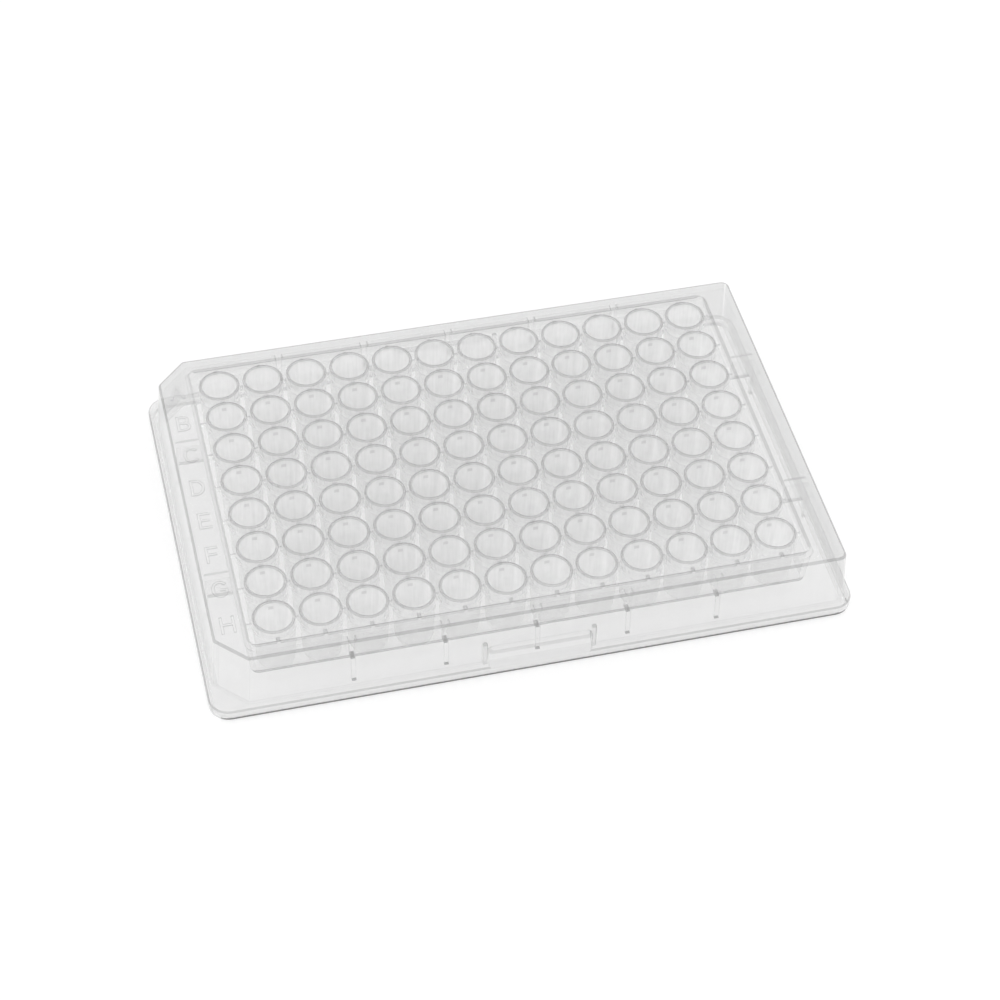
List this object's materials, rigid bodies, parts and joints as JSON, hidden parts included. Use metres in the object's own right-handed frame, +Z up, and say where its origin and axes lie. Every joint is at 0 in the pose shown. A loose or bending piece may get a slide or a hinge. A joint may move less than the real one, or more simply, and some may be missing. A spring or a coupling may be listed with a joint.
{
  "type": "well plate",
  "caption": "Rectangular multi-well plate moulded in one translucent piece, with flat-bottomed round wells on a square grid inside a hollow skirt.",
  "frame": {"origin": "middle of the base flange footprint, on the resting plane", "axes": "+X along the long side from column 1 to column 12, +Y across the plate towards row A, +Z up out of the wells"},
  "size_m": [0.1278, 0.0854, 0.0148],
  "materials": {
    "natural_polypropylene": "translucent natural polypropylene, smooth moulded surfaces with a faint milky haze"
  },
  "bodies": {
    "root": {"plate": "natural_polypropylene"}
  },
  "joints": []
}
